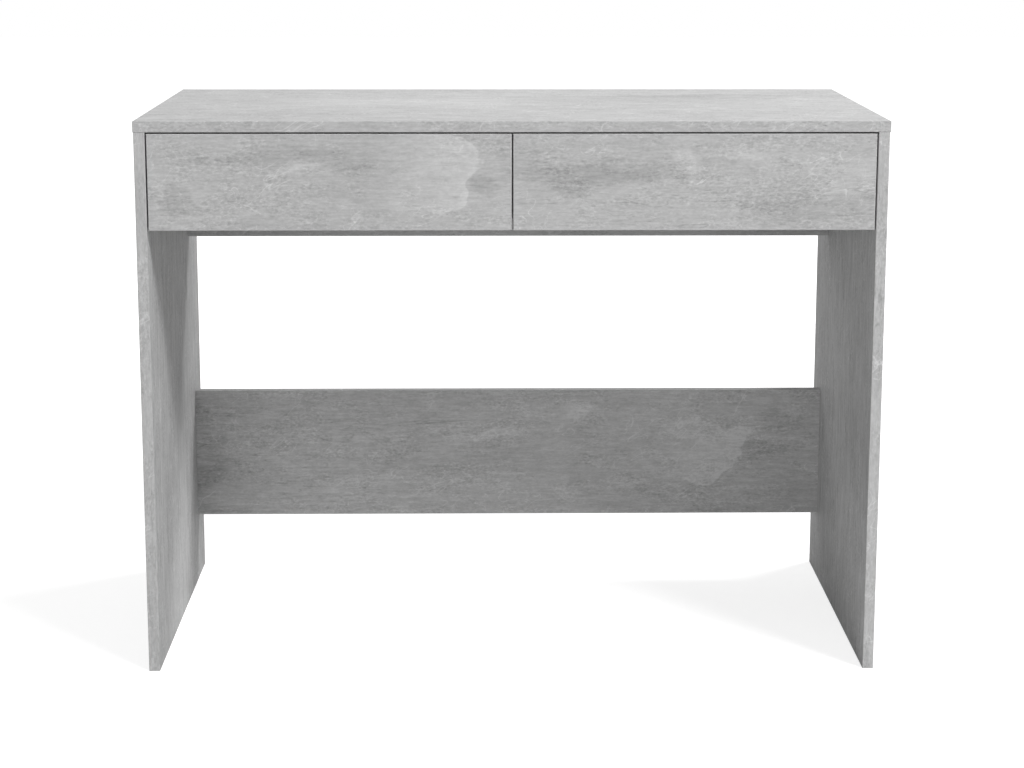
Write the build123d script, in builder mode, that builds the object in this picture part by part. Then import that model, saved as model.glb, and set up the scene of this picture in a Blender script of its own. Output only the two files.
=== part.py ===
from build123d import *
import os

os.makedirs("parts", exist_ok=True)

# A writing desk of laminated board: two side panels, a top, two rails and a
# short partition that carries the inner runners of two drawers.
# X runs to the right, Y to the back and Z up. The origin is on the floor,
# under the middle of the desk.

# Overall size and board
desk_width = 1010
desk_depth = 500
desk_height = 765
board = 15
top_overhang = 1  # the top stands this far past each side panel
edging = 1.3  # thickness of the edge strips
edging_round = 1.0

# Rails and partition
rail_height = 200
apron_setback = 395  # front edge of the desk to the front face of the upper rail
brace_setback = 435  # the same, to the lower rail
brace_bottom = 100
partition_setback = 17
partition_height = 118

# Drawers
front_height = 130
front_gap = 2  # round each drawer front
drawer_board = 12
drawer_length = 350
drawer_height = 90
drawer_rise = 22  # lower edge of the front up to the lower edge of the box
panel_board = 3  # hardboard bottom
groove_depth = 6
groove_rise = 8  # lower edge of the box up to the groove
groove_play = 0.2
travel = 260

# Roller runners
runner_room = 12.5  # between the drawer box and the carcass, each side
runner_length = 350
sheet = 1.2
track_bottom = -3.4  # middle of the sheet, counted from the box's lower edge
track_top = 18.6
track_reach = 10.0
lip_reach = 8.5
rib_level = 16.6
rib_start = 3.0
ledge_reach = 11.0
roller_radius = 9
roller_level = 6.7
roller_inset = 12  # from the runner's end to the roller's axis
roller_start = 3.5
roller_width = 5.6
spindle = 5
spindle_bore = 5.1
collar = 8
stop_height = 2.6

# Fittings
play = 0.1  # added to the diameter of each hole
cam_diameter = 15
cam_depth = 12.5
cam_inset = 24  # board's end to the middle of the cam
bolt_shank = 6
bolt_head = 7.4
bolt_hole = 8
bolt_thread = 10.5
dowel_diameter = 8
dowel_length = 30
dowel_in_face = 10
cap_diameter = 18
confirmat_head = 10
confirmat_shank = 6.4
confirmat_length = 50
small_cam = 12
small_cam_depth = 10.2
small_inset = 20
small_bolt = 5
small_head = 6.2
small_hole = 7
small_dowel = 6
small_dowel_length = 25
side_screw = 3.6
side_screw_head = 7
side_screw_length = 40
runner_screw = 3.5
runner_screw_head = 6.8
runner_screw_length = 13
ledge_screw = 3

# Planes that the pieces share
front_y = -desk_depth / 2
top_under = desk_height - board
side_inner = desk_width / 2 - top_overhang - board
side_middle = side_inner + board / 2
partition_face = board / 2
apron_y = front_y + apron_setback
brace_y = front_y + brace_setback
apron_bottom = top_under - rail_height
partition_bottom = top_under - partition_height
partition_front = front_y + partition_setback
front_back = front_y + board  # rear face of the drawer fronts
front_bottom = top_under - front_gap - front_height
box_bottom = front_bottom + drawer_rise
box_top = box_bottom + drawer_height
box_rear = front_back + drawer_length
groove_bottom = box_bottom + groove_rise
front_width = side_inner - 1.5 * front_gap
front_middle = front_gap / 2 + front_width / 2
runner_front = partition_front
runner_middle = runner_front + runner_length / 2
drawer_runner_middle = front_back + runner_length / 2

# Places of the fittings
top_cams_y = (-200, 200)
top_dowels_y = (-168, 168)
cam_level = top_under - cam_inset
apron_cams_z = (apron_bottom + 32, top_under - 32)
apron_dowels_z = (apron_bottom + 64, top_under - 64)
brace_cams_z = (brace_bottom + 32, brace_bottom + rail_height - 32)
brace_dowels_z = (brace_bottom + 64, brace_bottom + rail_height - 64)
rail_cam_x = side_inner - cam_inset
partition_cams_y = (-180, 90)
partition_dowel_y = -45
apron_top_dowels_x = (-240, 240)
confirmats_z = (partition_bottom + 30, top_under - 30)
front_cam_z = box_top - 25
front_dowel_z = box_bottom + 28
back_screws_z = (box_bottom + 25, box_top - 20)
back_middle = box_rear - drawer_board / 2
runner_screws_y = (runner_front + 37, runner_front + 165, runner_front + 293)
inner_screw_shift = 16  # keeps the screws from the partition's two faces apart
ledge_screws_y = (front_back + 35, front_back + 175, front_back + 315)
ledge_screw_inset = 3.8
front_roller_y = runner_front + roller_inset
rear_roller_y = box_rear - roller_inset


def bore(plane, centres, diameter, depth):
    """Round holes in the part being built, along the plane's normal."""
    with BuildSketch(plane) as mouths:
        with Locations(*centres):
            Circle(diameter / 2)
    extrude(mouths.sketch, amount=depth, mode=Mode.SUBTRACT)


def rods(plane, centres, diameter, length):
    """Round bars added to the part being built, along the plane's normal."""
    with BuildSketch(plane) as ends:
        with Locations(*centres):
            Circle(diameter / 2)
    extrude(ends.sketch, amount=length)


def crosses(plane, centres, size, width, depth):
    """Cross-shaped driver slots, cut along the plane's normal."""
    with BuildSketch(plane) as slots:
        with Locations(*centres):
            Rectangle(size, width)
            Rectangle(width, size)
    extrude(slots.sketch, amount=depth, mode=Mode.SUBTRACT)


def edge_strip(start, end, across):
    """One edge strip from start to end; its outer side is the run crossed with across."""
    run = Vector(*end) - Vector(*start)
    with BuildSketch(Plane(origin=start, x_dir=across, z_dir=run)) as section:
        with Locations((0, edging / 2)):
            Rectangle(board, edging)
        fillet(section.vertices().group_by(Axis.Y)[-1], radius=edging_round)
    extrude(section.sketch, amount=run.length)


# Top: board, then its four edge strips
core_x = desk_width / 2 - edging
core_y = desk_depth / 2 - edging
with BuildPart() as desk_top:
    with BuildSketch(Plane.XY.offset(top_under)):
        Rectangle(2 * core_x, 2 * core_y)
    extrude(amount=board)
    underside = Plane.XY.offset(top_under)
    bolt_places = [(s * side_middle, y) for s in (-1, 1) for y in top_cams_y]
    bolt_places += [(0, y) for y in partition_cams_y]
    bore(underside, bolt_places, bolt_shank + play, bolt_thread + 0.5)
    dowel_places = [(s * side_middle, y) for s in (-1, 1) for y in top_dowels_y]
    dowel_places += [(0, partition_dowel_y)]
    dowel_places += [(x, apron_y + board / 2) for x in apron_top_dowels_x]
    bore(underside, dowel_places, dowel_diameter + play, dowel_in_face + 0.5)
desk_top.part.label = "desk_top"
export_step(desk_top.part, "parts/desk_top.step")

with BuildPart() as desk_top_edging:
    level = top_under + board / 2
    up = (0, 0, 1)
    edge_strip((-desk_width / 2, -core_y, level), (desk_width / 2, -core_y, level), up)
    edge_strip((desk_width / 2, core_y, level), (-desk_width / 2, core_y, level), up)
    edge_strip((-core_x, core_y, level), (-core_x, -core_y, level), up)
    edge_strip((core_x, -core_y, level), (core_x, core_y, level), up)
desk_top_edging.part.label = "desk_top_edging"
export_step(desk_top_edging.part, "parts/desk_top_edging.step")


def side_panel(hand, s):
    """A side panel with its front and rear edge strips; s is -1 on the left and 1 on the right."""
    with BuildPart() as panel:
        with BuildSketch(Plane.XY):
            with Locations((s * side_middle, 0)):
                Rectangle(board, 2 * core_y)
        extrude(amount=top_under)
        top_edge = Plane.XY.offset(top_under)
        bore(top_edge, [(s * side_middle, y) for y in top_cams_y], bolt_hole, -cam_inset)
        dowel_depth = dowel_length - dowel_in_face + 0.5
        top_dowels = [(s * side_middle, y) for y in top_dowels_y]
        bore(top_edge, top_dowels, dowel_diameter + play, -dowel_depth)
        inner_face = Plane.YZ.offset(s * side_inner)
        bore(inner_face, [(y, cam_level) for y in top_cams_y], cam_diameter + play, s * cam_depth)
        apron_middle = apron_y + board / 2
        brace_middle = brace_y + board / 2
        bolts = [(apron_middle, z) for z in apron_cams_z] + [(brace_middle, z) for z in brace_cams_z]
        bore(inner_face, bolts, bolt_shank + play, s * (bolt_thread + 0.5))
        dowels = [(apron_middle, z) for z in apron_dowels_z]
        dowels += [(brace_middle, z) for z in brace_dowels_z]
        bore(inner_face, dowels, dowel_diameter + play, s * (dowel_in_face + 0.5))
        screws = [(y, box_bottom + roller_level) for y in runner_screws_y]
        bore(inner_face, screws, runner_screw + play, s * (runner_screw_length + 0.5))
    panel.part.label = f"{hand}_side_panel"
    export_step(panel.part, f"parts/{hand}_side_panel.step")

    with BuildPart() as strips:
        x = s * side_middle
        edge_strip((x, -core_y, top_under), (x, -core_y, 0), (1, 0, 0))
        edge_strip((x, core_y, 0), (x, core_y, top_under), (1, 0, 0))
    strips.part.label = f"{hand}_side_edging"
    export_step(strips.part, f"parts/{hand}_side_edging.step")


for hand, s in (("left", -1), ("right", 1)):
    side_panel(hand, s)

# Partition under the top, between the drawers
with BuildPart() as centre_partition:
    partition_core_front = partition_front + edging
    partition_core_bottom = partition_bottom + edging
    with BuildSketch(Plane.YZ.offset(-board / 2)):
        with Locations((partition_core_front, partition_core_bottom)):
            Rectangle(
                apron_y - partition_core_front,
                top_under - partition_core_bottom,
                align=(Align.MIN, Align.MIN),
            )
    extrude(amount=board)
    top_edge = Plane.XY.offset(top_under)
    bore(top_edge, [(0, y) for y in partition_cams_y], bolt_hole, -cam_inset)
    bore(top_edge, [(0, partition_dowel_y)], dowel_diameter + play, dowel_in_face - 0.5 - dowel_length)
    left_face = Plane.YZ.offset(-partition_face)
    bore(left_face, [(y, cam_level) for y in partition_cams_y], cam_diameter + play, cam_depth)
    rear_edge = Plane.XZ.offset(-apron_y)
    confirmat_reach = confirmat_length - board + 0.5
    bore(rear_edge, [(0, z) for z in confirmats_z], confirmat_shank + play, confirmat_reach)
    screw_level = box_bottom + roller_level
    left_screws = [(y, screw_level) for y in runner_screws_y]
    bore(left_face, left_screws, runner_screw + play, runner_screw_length + 0.5)
    right_screws = [(y + inner_screw_shift, screw_level) for y in runner_screws_y]
    right_face = Plane.YZ.offset(partition_face)
    bore(right_face, right_screws, runner_screw + play, -runner_screw_length - 0.5)
centre_partition.part.label = "centre_partition"
export_step(centre_partition.part, "parts/centre_partition.step")

with BuildPart() as partition_edging:
    front = partition_core_front
    low = partition_core_bottom
    edge_strip((0, front, top_under), (0, front, partition_bottom), (1, 0, 0))
    edge_strip((0, front, low), (0, apron_y, low), (1, 0, 0))
partition_edging.part.label = "partition_edging"
export_step(partition_edging.part, "parts/partition_edging.step")

# Upper rail behind the drawers, fixed to the sides with cams on its rear face
with BuildPart() as rear_apron:
    apron_core_bottom = apron_bottom + edging
    with BuildSketch(Plane.XZ.offset(-apron_y)):
        with Locations((0, apron_core_bottom)):
            Rectangle(2 * side_inner, top_under - apron_core_bottom, align=(Align.CENTER, Align.MIN))
    extrude(amount=-board)
    apron_rear = Plane.XZ.offset(-apron_y - board)
    apron_cams = [(s * rail_cam_x, z) for s in (-1, 1) for z in apron_cams_z]
    bore(apron_rear, apron_cams, cam_diameter + play, cam_depth)
    apron_middle = apron_y + board / 2
    for s in (-1, 1):
        rail_end = Plane.YZ.offset(s * side_inner)
        bore(rail_end, [(apron_middle, z) for z in apron_cams_z], bolt_hole, -s * cam_inset)
        dowels = [(apron_middle, z) for z in apron_dowels_z]
        bore(rail_end, dowels, dowel_diameter + play, -s * (dowel_length - dowel_in_face + 0.5))
    top_dowels = [(x, apron_middle) for x in apron_top_dowels_x]
    top_edge = Plane.XY.offset(top_under)
    bore(top_edge, top_dowels, dowel_diameter + play, dowel_in_face - 0.5 - dowel_length)
    bore(apron_rear, [(0, z) for z in confirmats_z], confirmat_shank + play, board)
    with BuildSketch(apron_rear) as sinks:
        with Locations(*[(0, z) for z in confirmats_z]):
            Circle(confirmat_head / 2 + play / 2)
    extrude(sinks.sketch, amount=4, mode=Mode.SUBTRACT)
rear_apron.part.label = "rear_apron"
export_step(rear_apron.part, "parts/rear_apron.step")

with BuildPart() as apron_edging:
    low = apron_core_bottom
    edge_strip((side_inner, apron_middle, low), (-side_inner, apron_middle, low), (0, 1, 0))
apron_edging.part.label = "apron_edging"
export_step(apron_edging.part, "parts/apron_edging.step")

# Lower rail between the legs
with BuildPart() as lower_brace:
    brace_top = brace_bottom + rail_height
    with BuildSketch(Plane.XZ.offset(-brace_y)):
        with Locations((0, (brace_bottom + brace_top) / 2)):
            Rectangle(2 * side_inner, rail_height - 2 * edging)
    extrude(amount=-board)
    brace_rear = Plane.XZ.offset(-brace_y - board)
    brace_cams = [(s * rail_cam_x, z) for s in (-1, 1) for z in brace_cams_z]
    bore(brace_rear, brace_cams, cam_diameter + play, cam_depth)
    brace_middle = brace_y + board / 2
    for s in (-1, 1):
        rail_end = Plane.YZ.offset(s * side_inner)
        bore(rail_end, [(brace_middle, z) for z in brace_cams_z], bolt_hole, -s * cam_inset)
        dowels = [(brace_middle, z) for z in brace_dowels_z]
        bore(rail_end, dowels, dowel_diameter + play, -s * (dowel_length - dowel_in_face + 0.5))
lower_brace.part.label = "lower_brace"
export_step(lower_brace.part, "parts/lower_brace.step")

with BuildPart() as brace_edging:
    high = brace_top - edging
    low = brace_bottom + edging
    edge_strip((-side_inner, brace_middle, high), (side_inner, brace_middle, high), (0, 1, 0))
    edge_strip((side_inner, brace_middle, low), (-side_inner, brace_middle, low), (0, 1, 0))
brace_edging.part.label = "brace_edging"
export_step(brace_edging.part, "parts/brace_edging.step")

# Every cam joint of the carcass, as the face it closes on, the bolt's place
# in that face, the way to the cam, and the face that the cam is let into
cam_joints = [
    (Plane.XY.offset(top_under), [(s * side_middle, y) for y in top_cams_y], -1,
     Plane.YZ.offset(s * side_inner), [(y, cam_level) for y in top_cams_y], s)
    for s in (-1, 1)
]
cam_joints += [
    (Plane.XY.offset(top_under), [(0, y) for y in partition_cams_y], -1,
     Plane.YZ.offset(-partition_face), [(y, cam_level) for y in partition_cams_y], 1)
]
cam_joints += [
    (Plane.YZ.offset(s * side_inner), [(y + board / 2, z) for z in levels], -s,
     Plane.XZ.offset(-y - board), [(s * rail_cam_x, z) for z in levels], 1)
    for s in (-1, 1)
    for y, levels in ((apron_y, apron_cams_z), (brace_y, brace_cams_z))
]

with BuildPart() as cam_bolts:
    for face, places, way, cam_face, cam_places, inward in cam_joints:
        rods(face, places, bolt_shank, -way * bolt_thread)
        rods(face, places, bolt_shank, way * (cam_inset - 2))
        rods(face.offset(way * (cam_inset - 4)), places, bolt_head, way * 4)
cam_bolts.part.label = "cam_bolts"
export_step(cam_bolts.part, "parts/cam_bolts.step")

with BuildPart() as cam_housings:
    for face, places, way, cam_face, cam_places, inward in cam_joints:
        rods(cam_face.offset(inward * 0.3), cam_places, cam_diameter, inward * (cam_depth - 0.5))
        crosses(cam_face.offset(inward * 0.3), cam_places, 8, 1.6, inward * 1.8)
        bore(face, places, bolt_hole, way * (cam_inset + 1))
cam_housings.part.label = "cam_housings"
export_step(cam_housings.part, "parts/cam_housings.step")

with BuildPart() as cam_caps:
    for y, levels in ((apron_y + board, apron_cams_z), (brace_y + board, brace_cams_z)):
        for x in (-rail_cam_x, rail_cam_x):
            for z in levels:
                with BuildSketch(Plane.XZ.offset(-y)) as disc:
                    with Locations((x, z)):
                        Circle(cap_diameter / 2)
                extrude(disc.sketch, amount=-0.9)
    fillet(cam_caps.edges().filter_by(GeomType.CIRCLE).group_by(Axis.Y)[-1], radius=0.5)
    fillet(cam_caps.edges().filter_by(GeomType.CIRCLE).group_by(Axis.Y)[1], radius=0.5)
cam_caps.part.label = "cam_caps"
export_step(cam_caps.part, "parts/cam_caps.step")

with BuildPart() as wooden_dowels:
    top_edge = Plane.XY.offset(top_under + dowel_in_face)
    uprights = [(s * side_middle, y) for s in (-1, 1) for y in top_dowels_y]
    uprights += [(0, partition_dowel_y)]
    uprights += [(x, apron_middle) for x in apron_top_dowels_x]
    rods(top_edge, uprights, dowel_diameter, -dowel_length)
    for s in (-1, 1):
        in_side = Plane.YZ.offset(s * (side_inner + dowel_in_face))
        places = [(apron_middle, z) for z in apron_dowels_z] + [(brace_middle, z) for z in brace_dowels_z]
        rods(in_side, places, dowel_diameter, -s * dowel_length)
    chamfer(wooden_dowels.edges().filter_by(GeomType.CIRCLE), length=0.8)
wooden_dowels.part.label = "wooden_dowels"
export_step(wooden_dowels.part, "parts/wooden_dowels.step")

with BuildPart() as confirmat_screws:
    heads = [(0, z) for z in confirmats_z]
    head_face = Plane.XZ.offset(-apron_y - board + 0.2)
    rods(head_face, heads, confirmat_head, 3.8)
    rods(head_face, heads, confirmat_shank, confirmat_length - 0.2)
    crosses(head_face, heads, 5, 1.2, 2)
confirmat_screws.part.label = "confirmat_screws"
export_step(confirmat_screws.part, "parts/confirmat_screws.step")

# Roller runners. A section is drawn as seen from the front: w counts from the
# carcass face towards the drawer and h from the drawer box's lower edge.


def runner_plane(face, d, y):
    """The plane of a runner's section at y, with its x axis along w."""
    return Plane(origin=(face, y, box_bottom), x_dir=(d, 0, 0), z_dir=(0, -d, 0))


def folded_sheet(plane, path, outer_corners):
    """A strip of sheet steel folded along path, as long as the runners, with rounded outer bends."""
    with BuildSketch(plane) as section:
        with BuildLine():
            Polyline(*path)
        trace(line_width=sheet)
        bends = [section.vertices().sort_by_distance(corner)[0] for corner in outer_corners]
        fillet(bends, radius=sheet)
    extrude(section.sketch, amount=runner_length / 2, both=True)


def roller(face, d, y, name):
    """A nylon roller with a rounded rim and a bored hub."""
    start = Plane.YZ.offset(face + d * roller_start)
    place = [(y, box_bottom + roller_level)]
    with BuildPart() as wheel:
        rods(start, place, 2 * roller_radius, d * roller_width)
        fillet(wheel.edges().filter_by(GeomType.CIRCLE), radius=0.6)
        bore(start, place, spindle_bore, d * roller_width)
    wheel.part.label = name
    export_step(wheel.part, f"parts/{name}.step")


def cabinet_runner(name, face, d, screws_y):
    """The channel screwed to the carcass: a web, a track, an upper lip and a travel stop."""
    with BuildPart() as channel:
        web = sheet / 2
        path = [(track_reach, track_bottom), (web, track_bottom), (web, track_top), (lip_reach, track_top)]
        corners = [(0, track_bottom - web), (0, track_top + web)]
        folded_sheet(runner_plane(face, d, runner_middle), path, corners)
        track = track_bottom + web
        stop_y = rear_roller_y - travel - roller_radius * 0.7
        with BuildSketch(runner_plane(face, d, stop_y - 2)) as stop:
            with Locations((roller_start, track)):
                Rectangle(roller_width, stop_height, align=(Align.MIN, Align.MIN))
        extrude(stop.sketch, amount=2, both=True)
        web_face = Plane.YZ.offset(face)
        level = box_bottom + roller_level
        bore(web_face, [(y, level) for y in screws_y], runner_screw + play, d * sheet)
        bore(web_face, [(front_roller_y, level)], spindle + play, d * sheet)
    channel.part.label = name
    export_step(channel.part, f"parts/{name}.step")


def drawer_runner(name, face, d):
    """The rail under a drawer side: a ledge below it, a web outside it and a rib that rides on the roller."""
    with BuildPart() as rail:
        web = runner_room - sheet / 2
        ledge = -sheet / 2
        path = [(runner_room + ledge_reach, ledge), (web, ledge), (web, rib_level), (rib_start, rib_level)]
        corners = [(runner_room - sheet, -sheet), (runner_room, rib_level + sheet / 2)]
        folded_sheet(runner_plane(face, d, drawer_runner_middle), path, corners)
        web_face = Plane.YZ.offset(face + d * (runner_room - sheet))
        bore(web_face, [(rear_roller_y, box_bottom + roller_level)], spindle + play, d * sheet)
        screw_x = face + d * (runner_room + ledge_screw_inset)
        below = Plane.XY.offset(box_bottom - sheet)
        bore(below, [(screw_x, y) for y in ledge_screws_y], ledge_screw + play, sheet)
    rail.part.label = name
    export_step(rail.part, f"parts/{name}.step")


# Each runner pair: hand, place in the bay, carcass face, way to the drawer, shift of its screws
runner_sites = [
    ("left", "outer", -side_inner, 1, 0),
    ("left", "inner", -partition_face, -1, 0),
    ("right", "inner", partition_face, 1, inner_screw_shift),
    ("right", "outer", side_inner, -1, 0),
]

for hand, place, face, d, shift in runner_sites:
    cabinet_runner(f"{hand}_{place}_cabinet_runner", face, d, [y + shift for y in runner_screws_y])
    roller(face, d, front_roller_y, f"{hand}_{place}_front_roller")
    drawer_runner(f"{hand}_{place}_drawer_runner", face, d)
    roller(face, d, rear_roller_y, f"{hand}_{place}_rear_roller")

roller_end = roller_start + roller_width
roller_slack = 0.1
with BuildPart() as cabinet_roller_pins:
    pin_place = [(front_roller_y, box_bottom + roller_level)]
    for hand, place, face, d, shift in runner_sites:
        rods(Plane.YZ.offset(face), pin_place, spindle, d * (roller_end + roller_slack))
        rods(Plane.YZ.offset(face + d * sheet), pin_place, collar, d * (roller_start - roller_slack - sheet))
        rods(Plane.YZ.offset(face + d * (roller_end + roller_slack)), pin_place, collar, d * 0.7)
cabinet_roller_pins.part.label = "cabinet_roller_pins"
export_step(cabinet_roller_pins.part, "parts/cabinet_roller_pins.step")

with BuildPart() as cabinet_runner_screws:
    for hand, place, face, d, shift in runner_sites:
        screw_places = [(y + shift, box_bottom + roller_level) for y in runner_screws_y]
        head_seat = Plane.YZ.offset(face + d * sheet)
        rods(head_seat, screw_places, runner_screw_head, d * sheet)
        rods(head_seat, screw_places, runner_screw, -d * (runner_screw_length + sheet))
        crosses(Plane.YZ.offset(face + 2 * d * sheet), screw_places, 3.6, 0.8, -d * 0.8)
cabinet_runner_screws.part.label = "cabinet_runner_screws"
export_step(cabinet_runner_screws.part, "parts/cabinet_runner_screws.step")


def drawer(hand, s):
    """One drawer: front, two sides, back, bottom and its fittings; s is -1 on the left and 1 on the right."""
    outer = side_inner - runner_room
    inner = partition_face + runner_room
    faces = ((inner, 1), (outer, -1))  # each side's outer face and the way to the drawer's middle
    side_middles = [s * (x + way * drawer_board / 2) for x, way in faces]
    box_middle = s * (outer + inner) / 2
    inside = outer - inner - 2 * drawer_board
    back_plane = Plane.XZ.offset(-front_back)  # rear face of the front, looking forwards
    left_edge = s * front_middle - front_width / 2
    right_edge = s * front_middle + front_width / 2
    front_top = front_bottom + front_height

    with BuildPart() as front:
        with BuildSketch(back_plane):
            with Locations((s * front_middle, (front_bottom + front_top) / 2)):
                Rectangle(front_width - 2 * edging, front_height - 2 * edging)
        extrude(amount=board)
        bore(back_plane, [(x, front_cam_z) for x in side_middles], small_bolt + play, bolt_thread + 0.5)
        dowel_depth = dowel_in_face + 0.5
        bore(back_plane, [(x, front_dowel_z) for x in side_middles], small_dowel + play, dowel_depth)
        with BuildSketch(back_plane) as groove:
            with Locations((box_middle, groove_bottom)):
                groove_size = (inside + 2 * groove_depth + groove_play, panel_board + groove_play)
                Rectangle(*groove_size, align=(Align.CENTER, Align.MIN))
        extrude(groove.sketch, amount=groove_depth + groove_play, mode=Mode.SUBTRACT)
    front.part.label = f"{hand}_drawer_front"
    export_step(front.part, f"parts/{hand}_drawer_front.step")

    with BuildPart() as strips:
        y = front_y + board / 2
        low = front_bottom + edging
        high = front_top - edging
        along = (0, 1, 0)
        edge_strip((left_edge, y, high), (right_edge, y, high), along)
        edge_strip((right_edge, y, low), (left_edge, y, low), along)
        edge_strip((left_edge + edging, y, low), (left_edge + edging, y, high), along)
        edge_strip((right_edge - edging, y, high), (right_edge - edging, y, low), along)
    strips.part.label = f"{hand}_front_edging"
    export_step(strips.part, f"parts/{hand}_front_edging.step")

    for place, (x, way) in zip(("inner", "outer"), faces):
        w = s * way  # across the board, towards the drawer's middle
        outside = Plane.YZ.offset(s * x)
        inside_face = Plane.YZ.offset(s * x + w * drawer_board)
        middle = s * x + w * drawer_board / 2
        with BuildPart() as side:
            with BuildSketch(outside):
                with Locations((front_back, box_bottom)):
                    Rectangle(drawer_length, drawer_height, align=(Align.MIN, Align.MIN))
            extrude(amount=w * drawer_board)
            cam_place = [(front_back + small_inset, front_cam_z)]
            bore(inside_face, cam_place, small_cam + play, -w * small_cam_depth)
            bore(back_plane, [(middle, front_cam_z)], small_hole, -small_inset)
            edge_depth = small_dowel_length - dowel_in_face + 0.5
            bore(back_plane, [(middle, front_dowel_z)], small_dowel + play, -edge_depth)
            screws = [(back_middle, z) for z in back_screws_z]
            bore(outside, screws, side_screw + play, w * drawer_board)
            bore(outside, screws, side_screw_head + play, w * 2.6)
            with BuildSketch(inside_face) as groove:
                with Locations((front_back, groove_bottom)):
                    Rectangle(drawer_length, panel_board + groove_play, align=(Align.MIN, Align.MIN))
            extrude(groove.sketch, amount=-w * (groove_depth + groove_play / 2), mode=Mode.SUBTRACT)
            screw_x = s * x + w * ledge_screw_inset
            below = Plane.XY.offset(box_bottom)
            bore(below, [(screw_x, y) for y in ledge_screws_y], ledge_screw + play, ledge_reach + 0.5)
        side.part.label = f"{hand}_drawer_{place}_side"
        export_step(side.part, f"parts/{hand}_drawer_{place}_side.step")

    with BuildPart() as back:
        back_face = Plane.XZ.offset(drawer_board - box_rear)
        with BuildSketch(back_face):
            with Locations((box_middle, box_bottom)):
                Rectangle(inside, drawer_height, align=(Align.CENTER, Align.MIN))
        extrude(amount=-drawer_board)
        with BuildSketch(back_face) as groove:
            with Locations((box_middle, groove_bottom)):
                Rectangle(inside, panel_board + groove_play, align=(Align.CENTER, Align.MIN))
        extrude(groove.sketch, amount=-groove_depth - groove_play, mode=Mode.SUBTRACT)
        screws = [(back_middle, z) for z in back_screws_z]
        thread = side_screw_length - drawer_board + 0.5
        for way in (-1, 1):
            end = Plane.YZ.offset(box_middle + way * inside / 2)
            bore(end, screws, side_screw + play, -way * thread)
    back.part.label = f"{hand}_drawer_back"
    export_step(back.part, f"parts/{hand}_drawer_back.step")

    with BuildPart() as bottom:
        with BuildSketch(Plane.XY.offset(groove_bottom)):
            with Locations((box_middle, front_back - groove_depth)):
                bottom_size = (inside + 2 * groove_depth, drawer_length - drawer_board + 2 * groove_depth)
                Rectangle(*bottom_size, align=(Align.CENTER, Align.MIN))
        extrude(amount=panel_board)
    bottom.part.label = f"{hand}_drawer_bottom"
    export_step(bottom.part, f"parts/{hand}_drawer_bottom.step")

    with BuildPart() as cams:
        for x, way in faces:
            w = s * way
            inside_face = Plane.YZ.offset(s * x + w * (drawer_board - 0.3))
            place = [(front_back + small_inset, front_cam_z)]
            rods(inside_face, place, small_cam, -w * (small_cam_depth - 0.5))
            crosses(inside_face, place, 6.5, 1.4, -w * 1.5)
        bore(back_plane, [(x, front_cam_z) for x in side_middles], small_hole, -small_inset - 1)
    cams.part.label = f"{hand}_drawer_cams"
    export_step(cams.part, f"parts/{hand}_drawer_cams.step")

    with BuildPart() as bolts:
        places = [(x, front_cam_z) for x in side_middles]
        rods(back_plane, places, small_bolt, bolt_thread)
        rods(back_plane, places, small_bolt, 2 - small_inset)
        rods(back_plane.offset(4 - small_inset), places, small_head, -4)
    bolts.part.label = f"{hand}_drawer_bolts"
    export_step(bolts.part, f"parts/{hand}_drawer_bolts.step")

    with BuildPart() as dowels:
        places = [(x, front_dowel_z) for x in side_middles]
        rods(back_plane.offset(dowel_in_face), places, small_dowel, -small_dowel_length)
        chamfer(dowels.edges().filter_by(GeomType.CIRCLE), length=0.6)
    dowels.part.label = f"{hand}_drawer_dowels"
    export_step(dowels.part, f"parts/{hand}_drawer_dowels.step")

    with BuildPart() as screws:
        for x, way in faces:
            w = s * way
            heads = Plane.YZ.offset(s * x + w * 0.2)
            back_places = [(back_middle, z) for z in back_screws_z]
            rods(heads, back_places, side_screw_head, w * 2.4)
            rods(heads, back_places, side_screw, w * side_screw_length)
            crosses(heads, back_places, 3.6, 0.8, w * 1.2)
            ledge_places = [(s * x + w * ledge_screw_inset, y) for y in ledge_screws_y]
            under = Plane.XY.offset(box_bottom - sheet)
            rods(under, ledge_places, 2 * ledge_screw, -sheet)
            rods(under, ledge_places, ledge_screw, ledge_reach)
    screws.part.label = f"{hand}_drawer_screws"
    export_step(screws.part, f"parts/{hand}_drawer_screws.step")

    with BuildPart() as pins:
        pin_place = [(rear_roller_y, box_bottom + roller_level)]
        for x, way in faces:
            outward = -s * way
            seat = s * x + outward * sheet
            far = runner_room - roller_start + roller_slack
            near = runner_room - roller_end - roller_slack
            rods(Plane.YZ.offset(s * x), pin_place, spindle, outward * far)
            rods(Plane.YZ.offset(seat), pin_place, collar, outward * (near - sheet))
            rods(Plane.YZ.offset(s * x + outward * far), pin_place, collar, outward * 0.7)
    pins.part.label = f"{hand}_drawer_roller_pins"
    export_step(pins.part, f"parts/{hand}_drawer_roller_pins.step")


for hand, s in (("left", -1), ("right", 1)):
    drawer(hand, s)
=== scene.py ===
import math

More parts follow.
